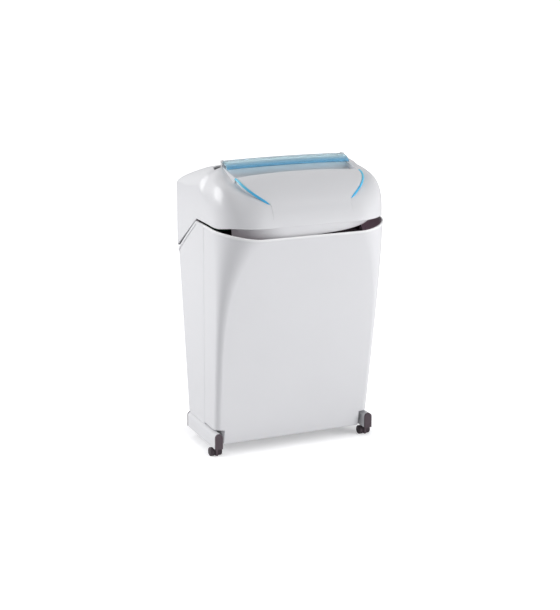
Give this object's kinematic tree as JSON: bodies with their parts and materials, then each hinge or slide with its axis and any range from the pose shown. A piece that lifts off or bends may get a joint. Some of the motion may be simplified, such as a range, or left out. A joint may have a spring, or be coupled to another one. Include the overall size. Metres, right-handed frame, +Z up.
{
  "type": "office paper and card shredder",
  "caption": "Floor-standing office shredder with a wide domed feed head, a flip-up safety flap, a pull-out waste bin and castored runners.",
  "frame": {"origin": "on the floor, at the middle of the bounding box", "axes": "+X to the right seen from the front, +Y to the back, +Z up"},
  "size_m": [0.366, 0.288, 0.6],
  "materials": {
    "shell_white": "satin off-white moulded plastic",
    "dark_plastic": "dark plum-grey plastic",
    "wheel_rubber": "dark tread",
    "blue_clear": "tinted clear blue acrylic",
    "sheet_steel": "zinc-plated sheet",
    "tool_steel": "ground steel",
    "black_plastic": "black moulding",
    "bronze": "sintered bronze",
    "gear_nylon": "natural nylon",
    "motor_enamel": "black enamel",
    "can_aluminium": "drawn can",
    "board_green": "green solder resist"
  },
  "bodies": {
    "chassis": {"runner_left": "shell_white", "runner_right": "shell_white", "runner_end_caps": "dark_plastic", "rear_crossbar": "dark_plastic", "base_plate": "sheet_steel", "upright_left": "sheet_steel", "upright_right": "sheet_steel", "rear_housing": "shell_white", "housing_clips": "dark_plastic", "chassis_tray": "sheet_steel", "head_cover": "shell_white", "front_fascia": "shell_white", "rear_panel": "shell_white", "front_skirt": "shell_white", "chute_liner": "shell_white", "accent_strip_left": "blue_clear", "accent_strip_right": "blue_clear", "cutter_side_left": "sheet_steel", "cutter_side_right": "sheet_steel", "tie_rods": "tool_steel", "stripper_comb_front": "black_plastic", "stripper_comb_rear": "black_plastic", "shaft_bushes": "bronze", "idler_axle": "tool_steel", "motor_casing": "motor_enamel", "motor_bracket": "sheet_steel", "run_capacitor": "can_aluminium", "control_board": "board_green", "feed_sensor": "black_plastic", "flap_switch": "black_plastic", "bin_switch": "black_plastic", "mode_switch_bezel": "dark_plastic", "power_inlet": "black_plastic", "wiring_loom": "black_plastic", "chassis_screws": "sheet_steel"},
    "waste_bin": {"waste_bin": "shell_white"},
    "safety_flap": {"safety_flap": "blue_clear", "flap_pins": "tool_steel"},
    "cutter_front": {"cutter_shaft_front": "tool_steel", "cutter_discs_front": "tool_steel", "sync_gear_front": "gear_nylon"},
    "cutter_rear": {"cutter_shaft_rear": "tool_steel", "cutter_discs_rear": "tool_steel", "sync_gear_rear": "gear_nylon", "drive_gear": "gear_nylon"},
    "idler": {"idler_gear": "gear_nylon"},
    "motor_rotor": {"motor_shaft": "tool_steel", "motor_pinion": "gear_nylon", "cooling_fan": "black_plastic"},
    "mode_rocker": {"mode_switch_rocker": "blue_clear"},
    "bin_plunger": {"bin_plunger": "black_plastic"},
    "castor_front_left": {"castor_front_left": "dark_plastic"},
    "wheels_front_left": {"wheels_front_left": "wheel_rubber"},
    "castor_front_right": {"castor_front_right": "dark_plastic"},
    "wheels_front_right": {"wheels_front_right": "wheel_rubber"},
    "castor_back_left": {"castor_back_left": "dark_plastic"},
    "wheels_back_left": {"wheels_back_left": "wheel_rubber"},
    "castor_back_right": {"castor_back_right": "dark_plastic"},
    "wheels_back_right": {"wheels_back_right": "wheel_rubber"}
  },
  "joints": [
    {"name": "bin_slide", "type": "slide", "parent": "chassis", "child": "waste_bin", "axis": [0, -1, 0], "range_m": [0, 0.27]},
    {"name": "flap_hinge", "type": "hinge", "parent": "chassis", "child": "safety_flap", "pos_m": [0, 0.006, 0.5955], "axis": [-1, 0, 0], "range_deg": [0, 70]},
    {"name": "rear_cutter_spin", "type": "hinge", "parent": "chassis", "child": "cutter_rear", "pos_m": [0, -0.04575, 0.5], "axis": [1, 0, 0], "continuous": true},
    {"name": "front_cutter_spin", "type": "hinge", "parent": "chassis", "child": "cutter_front", "pos_m": [0, -0.07575, 0.5], "axis": [1, 0, 0], "continuous": true},
    {"name": "idler_spin", "type": "hinge", "parent": "chassis", "child": "idler", "pos_m": [0, -0.00825, 0.5], "axis": [1, 0, 0], "continuous": true},
    {"name": "motor_spin", "type": "hinge", "parent": "chassis", "child": "motor_rotor", "pos_m": [0, 0.02675, 0.5], "axis": [1, 0, 0], "continuous": true},
    {"name": "mode_rocker_tilt", "type": "hinge", "parent": "chassis", "child": "mode_rocker", "pos_m": [0.096, 0.092, 0.56497], "axis": [0, 1, 0], "range_deg": [-12, 12]},
    {"name": "bin_plunger_slide", "type": "slide", "parent": "chassis", "child": "bin_plunger", "axis": [0, 1, 0], "range_m": [0, 0.003], "stiffness_N_per_m": 60},
    {"name": "castor_swivel_front_left", "type": "hinge", "parent": "chassis", "child": "castor_front_left", "pos_m": [-0.169, -0.037, 0.02], "axis": [0, 0, 1], "continuous": true},
    {"name": "castor_roll_front_left", "type": "hinge", "parent": "castor_front_left", "child": "wheels_front_left", "pos_m": [-0.169, -0.033, 0.0092], "axis": [1, 0, 0], "continuous": true},
    {"name": "castor_swivel_front_right", "type": "hinge", "parent": "chassis", "child": "castor_front_right", "pos_m": [0.169, -0.037, 0.02], "axis": [0, 0, 1], "continuous": true},
    {"name": "castor_roll_front_right", "type": "hinge", "parent": "castor_front_right", "child": "wheels_front_right", "pos_m": [0.169, -0.033, 0.0092], "axis": [1, 0, 0], "continuous": true},
    {"name": "castor_swivel_back_left", "type": "hinge", "parent": "chassis", "child": "castor_back_left", "pos_m": [-0.13, 0.101, 0.02], "axis": [0, 0, 1], "continuous": true},
    {"name": "castor_roll_back_left", "type": "hinge", "parent": "castor_back_left", "child": "wheels_back_left", "pos_m": [-0.13, 0.105, 0.0092], "axis": [1, 0, 0], "continuous": true},
    {"name": "castor_swivel_back_right", "type": "hinge", "parent": "chassis", "child": "castor_back_right", "pos_m": [0.13, 0.101, 0.02], "axis": [0, 0, 1], "continuous": true},
    {"name": "castor_roll_back_right", "type": "hinge", "parent": "castor_back_right", "child": "wheels_back_right", "pos_m": [0.13, 0.105, 0.0092], "axis": [1, 0, 0], "continuous": true}
  ],
  "couplings": [
    {"joint": "front_cutter_spin", "follows": "rear_cutter_spin", "ratio": -1},
    {"joint": "idler_spin", "follows": "rear_cutter_spin", "ratio": -2.5714},
    {"joint": "motor_spin", "follows": "rear_cutter_spin", "ratio": 7.7143}
  ]
}
